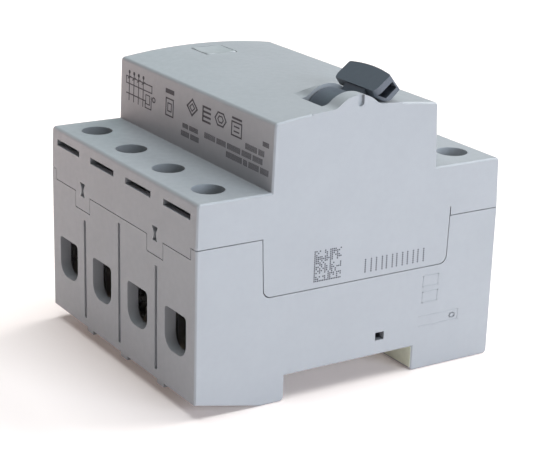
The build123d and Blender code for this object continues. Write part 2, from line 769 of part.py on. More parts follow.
with BuildPart() as trip_lever:
    low_arm = (LEVER_X[0], LEVER_X[1] + SEAM_GAP)
    trip_face = span(TRIP_Y, TRIP_LEVER_T)
    toe_top = TRIP_TOE_Z + TRIP_TOE_T
    block(TRIP_LEVER_X, trip_face, (TRIP_Z - TRIP_HUB_DROP, TRIP_TOP_Z))
    block(low_arm, trip_face, (toe_top - OVERLAP, TRIP_Z))
    block(low_arm, (TRIP_Y - TRIP_TOE_REACH, trip_face[1]), (TRIP_TOE_Z, toe_top))
    crossbar(TRIP_LEVER_X, TRIP_Y, TRIP_Z, TRIP_HUB_R)
    crossbar(
        around(TRIP_LEVER_X[0], CLEAR, TRIP_LEVER_X[1] - TRIP_LEVER_X[0] + CLEAR),
        TRIP_Y,
        TRIP_Z,
        TRIP_PIN_R + PIN_CLEARANCE,
        mode=Mode.SUBTRACT,
    )
    # window for the torsion spring
    window_y, window_z = TRIP_WINDOW
    block(TRIP_WINDOW_X, span(TRIP_Y, window_y), span(TRIP_Z, window_z), mode=Mode.SUBTRACT)
save(trip_lever, "trip_lever")

with BuildPart() as trip_spring:
    add(
        coil_spring(
            start=(TRIP_SPRING_X[0], TRIP_Y, TRIP_Z),
            direction=(1, 0, 0),
            length=TRIP_SPRING_X[1] - TRIP_SPRING_X[0],
            radius=1.35,
            wire_r=0.25,
            turns=4,
        )
    )
save(trip_spring, "trip_spring")

# ---------------------------------------------------------------- contact shaft
SHAFT_HALF = 31.9
JOURNAL_HALF = 33.7
JOURNAL_GAP = 0.1
CARRIER_WIDTH = 8.0
CARRIER_REACH_Y = (5.6, 3.0)
CARRIER_REACH_Z = (5.0, 3.8)
ARM_SLOT_WIDTH = 4.3
ARM_SLOT_REACH_Y = (7.0, 4.0)
ARM_SLOT_REACH_Z = (0.6, 2.2)
SPRING_SLOT_Y = (SHAFT_Y - 5.0, SHAFT_Y - 1.6)
SPRING_SLOT_DEPTH = 4.0
LEVER_TIP = 1.8
LEVER_FOOT_Z = (3.6, 4.2)
LEVER_HEAD_Z = (3.8, 2.6)
SLOT_OFFSET = (-0.39, -0.6)
SLOT_SIZE = (4.8, 3.2)

with BuildPart() as shaft:
    crossbar(span(0, 2 * SHAFT_HALF), SHAFT_Y, SHAFT_Z, SHAFT_R)
    crossbar(span(0, 2 * JOURNAL_HALF), SHAFT_Y, SHAFT_Z, BEARING_R - JOURNAL_GAP)
    for x in POLE_X:
        block(
            span(x, CARRIER_WIDTH),
            around(SHAFT_Y, *CARRIER_REACH_Y),
            around(SHAFT_Z, *CARRIER_REACH_Z),
        )
        arm_slot = span(x, ARM_SLOT_WIDTH)
        block(
            arm_slot,
            around(SHAFT_Y, *ARM_SLOT_REACH_Y),
            around(SHAFT_Z, *ARM_SLOT_REACH_Z),
            mode=Mode.SUBTRACT,
        )
        block(arm_slot, SPRING_SLOT_Y, (SHAFT_Z - SPRING_SLOT_DEPTH, SHAFT_Z), mode=Mode.SUBTRACT)
    # lever that the drive link pulls on, with a slot that gives the link its play
    with BuildSketch(Plane.YZ.offset(LEVER_X[0])):
        with BuildLine():
            tip_y = SHAFT_Y + LEVER_REACH
            Polyline(
                (SHAFT_Y, SHAFT_Z - LEVER_FOOT_Z[0]),
                (tip_y + LEVER_TIP, SHAFT_Z - LEVER_FOOT_Z[1]),
                (tip_y + LEVER_TIP, SHAFT_Z + LEVER_HEAD_Z[1]),
                (SHAFT_Y, SHAFT_Z + LEVER_HEAD_Z[0]),
                close=True,
            )
        make_face()
        with Locations((tip_y + SLOT_OFFSET[0], SHAFT_Z + SLOT_OFFSET[1])):
            SlotOverall(*SLOT_SIZE, rotation=90, mode=Mode.SUBTRACT)
    extrude(amount=LEVER_X[1] - LEVER_X[0])

with BuildPart() as contact_shaft:
    add(shaft.part.rotate(SHAFT_AXIS, CONTACT_OPEN))
save(contact_shaft, "contact_shaft")

ARM_TOP = 21.25
ARM_T = 2.0
ARM_WIDTH = 4.0
ARM_HEEL = 3.4
ARM_NOSE = 2.0
ARM_NOSE_R = 1.4
TIP_Y = -19.6
TIP_R = 1.8
TIP_T = 1.0
CONTACT_GAP = 0.15
FIXED_TIP_R = 2.1
FIXED_TIP_Z = ARM_TOP + TIP_T + CONTACT_GAP

for pole, x in enumerate(POLE_X, start=1):
    with BuildPart() as arm:
        block(span(x, ARM_WIDTH), (TIP_Y - ARM_NOSE, SHAFT_Y + ARM_HEEL), (ARM_TOP - ARM_T, ARM_TOP))
        rod((x, TIP_Y, ARM_TOP), (x, TIP_Y, ARM_TOP + TIP_T), TIP_R)
        nose_y = TIP_Y - ARM_NOSE
        fillet(arm.edges().filter_by(Axis.Z).filter_by_position(Axis.Y, nose_y, nose_y), ARM_NOSE_R)
    with BuildPart() as moving_contact:
        add(arm.part.rotate(SHAFT_AXIS, CONTACT_OPEN))
    save(moving_contact, f"moving_contact_{pole}")

SPRING_END_GAP = 0.3
CONTACT_SPRING_Y = SHAFT_Y - 3.4
CONTACT_SPRING_Z = (SHAFT_Z - SPRING_SLOT_DEPTH + SPRING_END_GAP, ARM_TOP - ARM_T - SPRING_END_GAP)
springs = [
    coil_spring(
        start=(x, CONTACT_SPRING_Y, CONTACT_SPRING_Z[0]),
        direction=(0, 0, 1),
        length=CONTACT_SPRING_Z[1] - CONTACT_SPRING_Z[0],
        radius=1.2,
        wire_r=0.25,
        turns=4,
    )
    for x in POLE_X
]
with BuildPart() as contact_springs:
    for spring in springs:
        add(spring.rotate(SHAFT_AXIS, CONTACT_OPEN))
save(contact_springs, "contact_springs")

OPENING_SPRING_Y = SHAFT_Y + 7.6
OPENING_SPRING_Z = (FLOOR_Z + 0.4, FLOOR_Z + 9.0)

with BuildPart() as opening_spring:
    add(
        coil_spring(
            start=(sum(LEVER_X) / 2, OPENING_SPRING_Y, OPENING_SPRING_Z[0]),
            direction=(0, 0, 1),
            length=OPENING_SPRING_Z[1] - OPENING_SPRING_Z[0],
            radius=1.7,
            wire_r=0.35,
            turns=6,
        )
    )
save(opening_spring, "opening_spring")

# ---------------------------------------------------------------- fixed contacts and arc chutes
CHUTE_Y = (-25.2, -22.4)
CHUTE_PLATES = 6
CHUTE_PITCH = 2.2
CHUTE_PLATE_T = 0.8
CHUTE_PLATE_WIDTH = 11.0
CHUTE_CHEEK_OFFSET = 5.9
CHUTE_CHEEK_T = 0.8
CHUTE_CHEEK_Z = (FLOOR_Z + 0.4, FLOOR_Z + 14.0)
BAR_END_Y = 37.8
LINE_BAR_TAIL = 2.2

for pole, x in enumerate(POLE_X, start=1):
    with BuildPart() as line_bar:
        block(span(x, BAR_WIDTH), (-BAR_END_Y, TIP_Y + LINE_BAR_TAIL), BAR_Z)
        rod((x, TIP_Y, FIXED_TIP_Z), (x, TIP_Y, BAR_Z[0]), FIXED_TIP_R)
    save(line_bar, f"line_bar_{pole}")

    with BuildPart() as arc_chute:
        for plate in range(CHUTE_PLATES):
            low = FLOOR_Z + CLEAR + plate * CHUTE_PITCH
            block(span(x, CHUTE_PLATE_WIDTH), CHUTE_Y, (low, low + CHUTE_PLATE_T))
        for cheek_x in span(x, 2 * CHUTE_CHEEK_OFFSET):
            block(span(cheek_x, CHUTE_CHEEK_T), CHUTE_Y, CHUTE_CHEEK_Z)
    save(arc_chute, f"arc_chute_{pole}")

# ---------------------------------------------------------------- load conductors and braids
HOLE_OFFSET = 2.2
START_Y = -1.0
START_Z = 29.0
START_OFFSET = 1.3
CORE_APPROACH = 1.8
CONDUCTOR_Y = (25.0, 28.5)
LOAD_BAR_START_Y = 27.3
BEND_R = 2.0
BRAID_R = 0.95
BRAID_BEND_R = 1.2
BRAID_GAP = 0.3
TAIL_END = (SHAFT_Y + 3.2, SHAFT_Z + 1.7)

for pole, x in enumerate(POLE_X, start=1):
    hand = 1 if x > 0 else -1
    inner = abs(x) < MODULE
    hole_x = hand * HOLE_OFFSET
    hole_z = CORE_Z + (HOLE_OFFSET if inner else -HOLE_OFFSET)
    route = [
        (x + hand * START_OFFSET, START_Y, START_Z),
        (hole_x, CORE_Y[0] - CORE_APPROACH, hole_z),
        (hole_x, CORE_Y[1] + CORE_APPROACH, hole_z),
        (x, CONDUCTOR_Y[0], BAR_MIDDLE_Z),
        (x, CONDUCTOR_Y[1], BAR_MIDDLE_Z),
    ]
    conductor = wire(route, WIRE_R, [BEND_R, BEND_R, BEND_R])
    with BuildPart() as load_bar:
        add(conductor)
        block(span(x, BAR_WIDTH), (LOAD_BAR_START_Y, BAR_END_Y), BAR_Z)
    save(load_bar, f"load_bar_{pole}")

braid_slope = sin(radians(CONTACT_OPEN)) / cos(radians(CONTACT_OPEN))
braid_knee_z = TAIL_END[1] + (START_Y - TAIL_END[0]) * braid_slope
braid_top_z = START_Z - WIRE_R - BRAID_GAP
braid_parts = [
    wire(
        [(x, *TAIL_END), (x, START_Y, braid_knee_z), (x, START_Y, braid_top_z)],
        BRAID_R,
        [BRAID_BEND_R],
    )
    for x in POLE_X
]
with BuildPart() as flexible_braids:
    for braid in braid_parts:
        add(braid)
save(flexible_braids, "flexible_braids")

# ---------------------------------------------------------------- current transformer
HOOPS = 16
HOOP_STEP = 8.0
HOOP_T = 0.8
HOOP_WIDTH = 0.7
CORE_FILLET = 0.8
WINDING_GAP = 0.05
LEAD_R = 0.4
LEAD_BEND_R = 2.0
LEAD_SPREAD = 1.4
LEAD_FLATTEN = (0.3, 0.4)
LEAD_START = (2.0, 10.0, CORE_Z + 17.2)
LEAD_RISE = (9.0, 11.0, 48.0)
LEAD_TURN = (17.0, 16.0, 50.6)
LEAD_END = (22.5, 16.2, 51.0)
CORE_PLANE = Plane(origin=(0, CORE_Y[0], CORE_Z), x_dir=(1, 0, 0), z_dir=(0, 1, 0))

with BuildPart() as transformer_core:
    with BuildSketch(CORE_PLANE):
        Circle(CORE_R[1])
        Circle(CORE_R[0], mode=Mode.SUBTRACT)
    extrude(amount=CORE_Y[1] - CORE_Y[0])
    fillet(transformer_core.edges().filter_by(GeomType.CIRCLE), CORE_FILLET)
save(transformer_core, "transformer_core")

with BuildPart() as hoop:
    for grow, depth, mode in ((HOOP_T, HOOP_WIDTH, Mode.ADD), (WINDING_GAP, 2 * CLEAR, Mode.SUBTRACT)):
        block(
            (CORE_R[0] - grow, CORE_R[1] + grow),
            (CORE_Y[0] - grow, CORE_Y[1] + grow),
            span(0, depth),
            mode=mode,
        )

with BuildPart() as secondary_winding:
    for turn in range(HOOPS):
        angle = 90 + HOOP_STEP * (turn - (HOOPS - 1) / 2)
        add(Location((0, 0, CORE_Z)) * hoop.part.rotate(Axis.Y, -angle))
save(secondary_winding, "secondary_winding")

with BuildPart() as relay_leads:
    for step in (-LEAD_SPREAD, LEAD_SPREAD):
        together = Vector(0, step * LEAD_FLATTEN[0], step * LEAD_FLATTEN[1])
        points = [
            Vector(*LEAD_START) + Vector(step, 0, 0),
            Vector(*LEAD_RISE) + Vector(0, step, 0),
            Vector(*LEAD_TURN) + together,
            Vector(*LEAD_END) + together,
        ]
        add(wire(points, LEAD_R, [LEAD_BEND_R, LEAD_BEND_R]))
save(relay_leads, "relay_leads")

# ---------------------------------------------------------------- trip relay
RELAY_X = (21.0, 32.4)
PLUNGER_X = 26.7
PLUNGER_Z = 47.5
PLUNGER_R = 1.1
PLUNGER_CLEARANCE = 0.3
PLUNGER_Y = (TRIP_Y + 1.2, 16.0)
RELAY_WALL = 1.0
LEAD_PORT_Y = (14.4, 18.4)
LEAD_PORT_Z = (49.2, 52.6)
BOBBIN_Y = (11.0, 17.6)
BOBBIN_FLANGE = 0.8
BOBBIN_R = 3.6
WINDING_Y = (11.4, 17.2)
WINDING_R = 3.0
PLUNGER_BORE_Y = (10.0, 16.6)


def lengthwise(y, radius, mode=Mode.ADD):
    """A round bar along Y on the plunger's line."""
    rod((PLUNGER_X, y[0], PLUNGER_Z), (PLUNGER_X, y[1], PLUNGER_Z), radius, mode)


with BuildPart() as relay_housing:
    block(RELAY_X, RELAY_Y, RELAY_Z)
    inside = [(low + RELAY_WALL, high - RELAY_WALL) for low, high in (RELAY_X, RELAY_Y, RELAY_Z)]
    block(*inside, mode=Mode.SUBTRACT)
    through_wall = (CLEAR, RELAY_WALL + CLEAR)
    lengthwise(around(RELAY_Y[0], *through_wall), PLUNGER_R + PLUNGER_CLEARANCE, mode=Mode.SUBTRACT)
    block(around(RELAY_X[0], *through_wall), LEAD_PORT_Y, LEAD_PORT_Z, mode=Mode.SUBTRACT)
save(relay_housing, "relay_housing")

with BuildPart() as relay_coil:
    lengthwise((BOBBIN_Y[0], BOBBIN_Y[0] + BOBBIN_FLANGE), BOBBIN_R)
    lengthwise((BOBBIN_Y[1] - BOBBIN_FLANGE, BOBBIN_Y[1]), BOBBIN_R)
    lengthwise(WINDING_Y, WINDING_R)
    lengthwise(PLUNGER_BORE_Y, PLUNGER_R + PLUNGER_CLEARANCE, mode=Mode.SUBTRACT)
save(relay_coil, "relay_coil")

with BuildPart() as relay_plunger:
    lengthwise(PLUNGER_Y, PLUNGER_R)
save(relay_plunger, "relay_plunger")

# ---------------------------------------------------------------- test button and circuit
BUTTON_Z = (63.4, 67.1)
BUTTON_CORNER_R = 0.8
BUTTON_EDGE_R = 0.4
FLANGE_GROW = 1.0
FLANGE_T = 1.6
DISH_R = 30.0
DISH_DEPTH = 0.4
STEM_R = 1.9
STEM_BOTTOM = 54.3
STEM_CLEARANCE = 0.3
BUTTON_SPRING_Z = (57.8, 62.8)
BRACKET_TOP = 57.4
BRACKET_T = 1.4
POST_WIDTH = 5.0
POST_Y = (12.5, 17.5)
SHELF_WIDTH = 8.0
SHELF_Y = (BUTTON_Y - 4.0, 13.0)
BLADE_Z = (51.7, 52.1)
BLADE_Y = (BUTTON_Y - 3, 15.5)
BLADE_WIDTH = 4.0
BLADE_SLOT = (5.4, 0.2)
BLADE_TIP_R = 1.2
BLADE_TIP_Z = (51.0, 51.8)
RESISTOR_X = -21.5
RESISTOR_Y = 14.5
RESISTOR_BODY_Z = (30.0, 41.0)
RESISTOR_LEAD_Z = (26.0, 45.0)
RESISTOR_R = 2.0
RESISTOR_LEAD_R = 0.4


def upright(x, y, z, radius, mode=Mode.ADD):
    """A round bar along Z at one X and Y."""
    rod((x, y, z[0]), (x, y, z[1]), radius, mode)


with BuildPart() as test_button:
    with BuildSketch(Plane.XY.offset(BUTTON_Z[0])):
        with Locations((BUTTON_X, BUTTON_Y)):
            RectangleRounded(BUTTON_SIZE, BUTTON_SIZE, BUTTON_CORNER_R)
    extrude(amount=BUTTON_Z[1] - BUTTON_Z[0])
    fillet(test_button.edges().group_by(Axis.Z)[-1], BUTTON_EDGE_R)
    with BuildSketch(Plane.XY.offset(BUTTON_Z[0])):
        with Locations((BUTTON_X, BUTTON_Y)):
            flange_size = BUTTON_SIZE + 2 * FLANGE_GROW
            RectangleRounded(flange_size, flange_size, FLANGE_GROW)
    extrude(amount=FLANGE_T)
    upright(BUTTON_X, BUTTON_Y, (STEM_BOTTOM, BUTTON_Z[0] + SEAM_GAP), STEM_R)
    # finger dish
    with Locations((BUTTON_X, BUTTON_Y, BUTTON_Z[1] + DISH_R - DISH_DEPTH)):
        Sphere(DISH_R, mode=Mode.SUBTRACT)
save(test_button, "test_button")

with BuildPart() as button_spring:
    add(
        coil_spring(
            start=(BUTTON_X, BUTTON_Y, BUTTON_SPRING_Z[0]),
            direction=(0, 0, 1),
            length=BUTTON_SPRING_Z[1] - BUTTON_SPRING_Z[0],
            radius=2.7,
            wire_r=0.3,
            turns=4,
        )
    )
save(button_spring, "button_spring")

with BuildPart() as test_bracket:
    shelf_z = (BRACKET_TOP - BRACKET_T, BRACKET_TOP)
    block(span(BUTTON_X, POST_WIDTH), POST_Y, (FLOOR_Z + REST_GAP, BRACKET_TOP))
    block(span(BUTTON_X, SHELF_WIDTH), SHELF_Y, shelf_z)
    upright(
        BUTTON_X, BUTTON_Y, (shelf_z[0] - CLEAR, BRACKET_TOP + CLEAR), STEM_R + STEM_CLEARANCE,
        mode=Mode.SUBTRACT,
    )
    slot_width, slot_play = BLADE_SLOT
    block(
        span(BUTTON_X, slot_width),
        (POST_Y[0] - CLEAR, BLADE_Y[1] + slot_play),
        (BLADE_Z[0], BLADE_Z[1] + REST_GAP),
        mode=Mode.SUBTRACT,
    )
save(test_bracket, "test_bracket")

with BuildPart() as test_blade:
    block(span(BUTTON_X, BLADE_WIDTH), BLADE_Y, BLADE_Z)
    upright(BUTTON_X, BUTTON_Y, BLADE_TIP_Z, BLADE_TIP_R)
save(test_blade, "test_blade")

with BuildPart() as test_resistor:
    upright(RESISTOR_X, RESISTOR_Y, RESISTOR_BODY_Z, RESISTOR_R)
    upright(RESISTOR_X, RESISTOR_Y, RESISTOR_LEAD_Z, RESISTOR_LEAD_R)
save(test_resistor, "test_resistor")

# ---------------------------------------------------------------- terminals
CAGE_WIDTH = 11.0
CAGE_T = 1.2
CAGE_DEPTH = 9.0
CAGE_Z = (11.4, 28.4)
CAGE_TOP_T = 2.2
CAGE_FOOT_R = 3.4
MOUTH_R = (2.2, 0.5)
THREAD_CLEARANCE = 0.08
SCREW_R = 2.45
SCREW_HEAD_R = 3.5
SCREW_HEAD_FILLET = 0.5
SCREW_Z = (BAR_Z[1] + 0.15, 39.5, 42.8)
RECESS_DEPTH = 2.2
RECESS_LENGTH = 4.6
RECESS_WIDTH = 1.0

for side_name, side in SIDES.items():
    for pole, x in enumerate(POLE_X, start=1):
        axis_y = side * TERMINAL_Y
        with BuildPart() as clamp_cage:
            height = CAGE_Z[1] - CAGE_Z[0]
            plane = terminal_plane(x, side, sum(CAGE_Z) / 2, TERMINAL_Y - CAGE_DEPTH / 2)
            with BuildSketch(plane) as ring:
                Rectangle(CAGE_WIDTH, height)
                fillet(ring.vertices().group_by(Axis.Y)[0], CAGE_FOOT_R)
                with BuildSketch(mode=Mode.PRIVATE) as mouth:
                    with Locations((0, (CAGE_T - CAGE_TOP_T) / 2)):
                        Rectangle(CAGE_WIDTH - 2 * CAGE_T, height - CAGE_T - CAGE_TOP_T)
                    fillet(mouth.vertices().group_by(Axis.Y)[0], MOUTH_R[0])
                    fillet(mouth.vertices().group_by(Axis.Y)[-1], MOUTH_R[1])
                add(mouth.sketch, mode=Mode.SUBTRACT)
            extrude(amount=CAGE_DEPTH)
            through_top = around(CAGE_Z[1], CAGE_TOP_T + CLEAR, CLEAR)
            upright(x, axis_y, through_top, SCREW_R + THREAD_CLEARANCE, mode=Mode.SUBTRACT)
        save(clamp_cage, f"{side_name}_cage_{pole}")

        with BuildPart() as clamp_screw:
            foot, neck, top = SCREW_Z
            upright(x, axis_y, (foot, neck + OVERLAP), SCREW_R)
            upright(x, axis_y, (neck, top), SCREW_HEAD_R)
            fillet(clamp_screw.edges().group_by(Axis.Z)[-1], SCREW_HEAD_FILLET)
            recess_z = (top - RECESS_DEPTH, top + CLEAR)
            for across, along in ((RECESS_LENGTH, RECESS_WIDTH), (RECESS_WIDTH, RECESS_LENGTH)):
                block(span(x, across), span(axis_y, along), recess_z, mode=Mode.SUBTRACT)
        save(clamp_screw, f"{side_name}_screw_{pole}")

# ---------------------------------------------------------------- drive link
link_top = on_crank(CRANK_ANGLE, CRANK_R)
lever_angle = radians(CONTACT_OPEN)
link_low = (SHAFT_Y + LEVER_REACH * cos(lever_angle), SHAFT_Z + LEVER_REACH * sin(lever_angle))
LINK_X = 30.0
LINK_TOP_END_X = 25.2
LINK_LOW_END_X = LEVER_X[0] - 0.5
LINK_BEND_R = 1.2

with BuildPart() as drive_link:
    route = [
        (LINK_TOP_END_X, *link_top),
        (LINK_X, *link_top),
        (LINK_X, *link_low),
        (LINK_LOW_END_X, *link_low),
    ]
    add(wire(route, LINK_R, [LINK_BEND_R, LINK_BEND_R]))
save(drive_link, "drive_link")

# ---------------------------------------------------------------- rail clips
CLIP_NOSE_Y = 16.7
CLIP_TAIL_Y = 41.0
CLIP_WINDOW_Y = (24.0, 33.8)
CLIP_WINDOW_WIDTH = 5.2
CLIP_STEM_WIDTH = CLIP_WIDTH - 2.6
CLIP_STEM_Y = CLIP_NOSE_Y + 2.4
CLIP_NOSE_BEVEL = 1.2
CLIP_EYE_Y = (37.2, 38.8)
CLIP_EYE_WIDTH = 5.0
CLIP_SPRING_Y = (24.3, 31.6)
CLIP_SPRING_Z = 3.2

for number, x in enumerate(CLIP_X, start=1):
    with BuildPart() as rail_clip:
        block(span(x, CLIP_WIDTH), (CLIP_NOSE_Y, CLIP_TAIL_Y), CLIP_Z)
        block(
            span(x, CLIP_STEM_WIDTH),
            (CLIP_STEM_Y, CLIP_TAIL_Y),
            (CLIP_FOOT_Z, CLIP_Z[0] + OVERLAP),
        )
        nose = rail_clip.edges().filter_by(Axis.X).sort_by(Axis.Y)[0:2].sort_by(Axis.Z)[0]
        chamfer(nose, CLIP_NOSE_BEVEL)
        through_clip = (CLIP_FOOT_Z - CLEAR, CLIP_Z[1] + CLEAR)
        block(span(x, CLIP_WINDOW_WIDTH), CLIP_WINDOW_Y, through_clip, mode=Mode.SUBTRACT)
        block(span(x, CLIP_EYE_WIDTH), CLIP_EYE_Y, through_clip, mode=Mode.SUBTRACT)
    save(rail_clip, f"rail_clip_{number}")

    with BuildPart() as clip_spring:
        add(
            coil_spring(
                start=(x, CLIP_SPRING_Y[0], CLIP_SPRING_Z),
                direction=(0, 1, 0),
                length=CLIP_SPRING_Y[1] - CLIP_SPRING_Y[0],
                radius=1.15,
                wire_r=0.25,
                turns=6,
            )
        )
    save(clip_spring, f"clip_spring_{number}")
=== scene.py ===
import json
import math
import random

import bmesh
import bpy
from mathutils import Matrix, Vector


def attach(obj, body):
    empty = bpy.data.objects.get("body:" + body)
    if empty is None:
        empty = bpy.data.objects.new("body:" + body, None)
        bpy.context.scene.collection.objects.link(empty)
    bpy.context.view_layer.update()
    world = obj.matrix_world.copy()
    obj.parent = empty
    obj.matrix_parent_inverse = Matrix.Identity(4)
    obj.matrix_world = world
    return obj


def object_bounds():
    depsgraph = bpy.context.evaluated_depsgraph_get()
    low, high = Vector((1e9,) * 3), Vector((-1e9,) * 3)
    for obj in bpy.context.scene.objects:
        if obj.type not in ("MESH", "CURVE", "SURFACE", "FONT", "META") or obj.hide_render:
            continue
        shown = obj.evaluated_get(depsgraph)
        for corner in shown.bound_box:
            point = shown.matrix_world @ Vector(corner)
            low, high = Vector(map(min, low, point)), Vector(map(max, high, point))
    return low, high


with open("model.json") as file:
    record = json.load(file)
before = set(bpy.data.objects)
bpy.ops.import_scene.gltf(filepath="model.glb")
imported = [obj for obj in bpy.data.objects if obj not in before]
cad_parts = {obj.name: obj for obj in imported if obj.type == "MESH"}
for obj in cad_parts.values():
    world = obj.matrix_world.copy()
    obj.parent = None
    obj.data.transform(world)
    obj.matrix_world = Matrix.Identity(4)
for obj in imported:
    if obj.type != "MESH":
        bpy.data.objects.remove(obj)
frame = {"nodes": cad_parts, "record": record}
cad_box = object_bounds()

MM = 0.001
NODES = frame["nodes"]
RECORD = frame["record"]
SLOT_OF = {part["node"]: part["material_slot"] for part in RECORD["subparts"]}
scene = bpy.context.scene


SOCKETS = {
    "base": "Base Color",
    "roughness": "Roughness",
    "metallic": "Metallic",
    "specular": "Specular IOR Level",
    "coat": "Coat Weight",
    "coat_roughness": "Coat Roughness",
    "normal": "Normal",
}


# ---------------------------------------------------------------- shader helpers
def add_node(tree, kind, inputs=None, **settings):
    """A shader node with its settings and its inputs, which are values or other nodes' outputs."""
    node = tree.nodes.new(kind)
    for key, value in settings.items():
        setattr(node, key, value)
    for key, value in (inputs or {}).items():
        if isinstance(value, bpy.types.NodeSocket):
            tree.links.new(value, node.inputs[key])
        else:
            node.inputs[key].default_value = value
    return node


def new_material(name, **values):
    """A material, its node tree and its shader, with plain values set on the shader's own sockets."""
    material = bpy.data.materials.new(name)
    material.use_nodes = True
    tree = material.node_tree
    shader = tree.nodes["Principled BSDF"]
    for key, value in values.items():
        shader.inputs[SOCKETS[key]].default_value = value
    return material, tree, shader


def position(tree, stretch=(1, 1, 1), turn=(0, 0, 0)):
    """Object coordinates, stretched along each axis."""
    coords = add_node(tree, "ShaderNodeTexCoord")
    mapping = add_node(tree, "ShaderNodeMapping", {"Vector": coords.outputs["Object"], "Scale": stretch,
                                                   "Rotation": turn})
    return mapping.outputs["Vector"]


def noise(tree, size_mm, detail=2.0, stretch=(1, 1, 1), rough=0.5):
    """Noise whose features are about that many millimetres across."""
    made = add_node(tree, "ShaderNodeTexNoise",
                    {"Vector": position(tree, stretch), "Scale": 1 / (size_mm * MM), "Detail": detail,
                     "Roughness": rough})
    return made.outputs["Fac"]


def remap(tree, value, low, high, source=(0.3, 0.7)):
    """A value moved from its source range to another."""
    made = add_node(tree, "ShaderNodeMapRange",
                    {"Value": value, "From Min": source[0], "From Max": source[1], "To Min": low, "To Max": high})
    return made.outputs["Result"]


def blend_colours(tree, factor, first, second):
    made = add_node(tree, "ShaderNodeMix", {0: factor, 6: first, 7: second}, data_type="RGBA")
    return made.outputs[2]


def shade(colour, factor):
    return tuple(min(1.0, channel * factor) for channel in colour[:3]) + (1.0,)


def bump_stack(tree, layers):
    """Bump from several heights, each given as (height, depth in millimetres, strength)."""
    normal = None
    for height, depth, strength in layers:
        inputs = {"Height": height, "Distance": depth * MM, "Strength": strength}
        if normal is not None:
            inputs["Normal"] = normal
        normal = add_node(tree, "ShaderNodeBump", inputs).outputs["Normal"]
    return normal


def connect(tree, shader, **outputs):
    for key, output in outputs.items():
        tree.links.new(output, shader.inputs[SOCKETS[key]])


# ---------------------------------------------------------------- materials
def moulded_plastic(name, colour, roughness=(0.42, 0.56), grain_mm=0.22, grain_depth=0.012, specular=0.5):
    """Spark-eroded moulding: fine grain, faint flow clouds and small wear in the gloss."""
    material, tree, shader = new_material(name, specular=specular)
    clouds = noise(tree, size_mm=14, detail=3)
    mottle = noise(tree, size_mm=1.6, detail=2)
    grain = noise(tree, size_mm=grain_mm, detail=2, rough=0.7)
    flow = noise(tree, size_mm=5.5, detail=2, stretch=(1, 1, 0.35))
    base = blend_colours(tree, remap(tree, clouds, 0, 1), shade(colour, 0.975), shade(colour, 1.02))
    base = blend_colours(tree, remap(tree, mottle, 0, 0.12), base, shade(colour, 0.9))
    connect(tree, shader, base=base,
            roughness=remap(tree, mottle, *roughness),
            normal=bump_stack(tree, [(flow, 0.05, 0.25), (grain, grain_depth, 0.55)]))
    return material


def paint_slot_wall_bounce_light(material, wall_y, depth, colour):
    """Painted bounce light: the load-side wall of the rail slot, down to a depth, painted paler and yellower in
    place of light bounced up into the slot.
    """
    tree = material.node_tree
    base = tree.nodes["Principled BSDF"].inputs["Base Color"]
    surface = base.links[0].from_socket
    place = add_node(tree, "ShaderNodeSeparateXYZ", {"Vector": position(tree)})
    near_wall = add_node(tree, "ShaderNodeMath", {0: place.outputs["Y"], 1: wall_y, 2: 0.05 * MM},
                         operation="COMPARE").outputs[0]
    below = add_node(tree, "ShaderNodeMath", {0: place.outputs["Z"], 1: depth}, operation="LESS_THAN").outputs[0]
    mask = add_node(tree, "ShaderNodeMath", {0: near_wall, 1: below}, operation="MULTIPLY").outputs[0]
    clouds = remap(tree, noise(tree, size_mm=3.0, detail=2), 0, 1)
    # painted bounce light: a paler, yellower colour, clouded a little, laid over the wall
    painted_bounce_colour = blend_colours(tree, clouds, shade(colour, 0.86), shade(colour, 1.0))
    tree.links.new(blend_colours(tree, mask, surface, painted_bounce_colour), base)


def plated_metal(name, colour, roughness=(0.24, 0.42), tint=(0.80, 0.78, 0.66), stretch=(1, 1, 1), metallic=1.0):
    """Plated steel or bare copper: drifting passivation tint, drawn scratches and fine pits."""
    material, tree, shader = new_material(name, metallic=metallic)
    drift = noise(tree, size_mm=3.5, detail=3)
    scratch = noise(tree, size_mm=0.5, detail=3, stretch=stretch)
    pits = noise(tree, size_mm=0.18, detail=1)
    toned = tuple(channel * warm for channel, warm in zip(colour, tint)) + (1.0,)
    base = blend_colours(tree, remap(tree, drift, 0, 1), shade(colour, 1.0), toned)
    base = blend_colours(tree, remap(tree, scratch, 0, 0.35), base, shade(colour, 0.62))
    connect(tree, shader, base=base,
            roughness=remap(tree, drift, *roughness),
            normal=bump_stack(tree, [(scratch, 0.02, 0.4), (pits, 0.006, 0.3)]))
    return material


def braid_metal(name, colour):
    """Stranded copper: two crossing sets of fine waves."""
    material, tree, shader = new_material(name, metallic=1.0)
    waves = [
        add_node(tree, "ShaderNodeTexWave",
                 {"Vector": position(tree, turn=(0, 0, angle)), "Scale": 260.0, "Distortion": 0.6},
                 wave_type="BANDS", bands_direction="DIAGONAL").outputs["Fac"]
        for angle in (0.0, math.pi / 2)
    ]
    weave = add_node(tree, "ShaderNodeMath", {0: waves[0], 1: waves[1]}, operation="MAXIMUM").outputs[0]
    base = blend_colours(tree, weave, shade(colour, 0.35), shade(colour, 1.1))
    connect(tree, shader, base=base, roughness=remap(tree, weave, 0.55, 0.3, (0, 1)),
            normal=bump_stack(tree, [(weave, 0.25, 0.8)]))
    return material


def enamel(name, colour, roughness=(0.12, 0.24)):
    """Epoxy or enamel: glossy, with orange peel and slight pooling."""
    material, tree, shader = new_material(name, coat=0.6, coat_roughness=0.12)
    peel = noise(tree, size_mm=0.9, detail=2)
    pool = noise(tree, size_mm=4.0, detail=2)
    base = blend_colours(tree, remap(tree, pool, 0, 1), shade(colour, 0.8), shade(colour, 1.15))
    connect(tree, shader, base=base, roughness=remap(tree, peel, *roughness),
            normal=bump_stack(tree, [(peel, 0.05, 0.5)]))
    return material


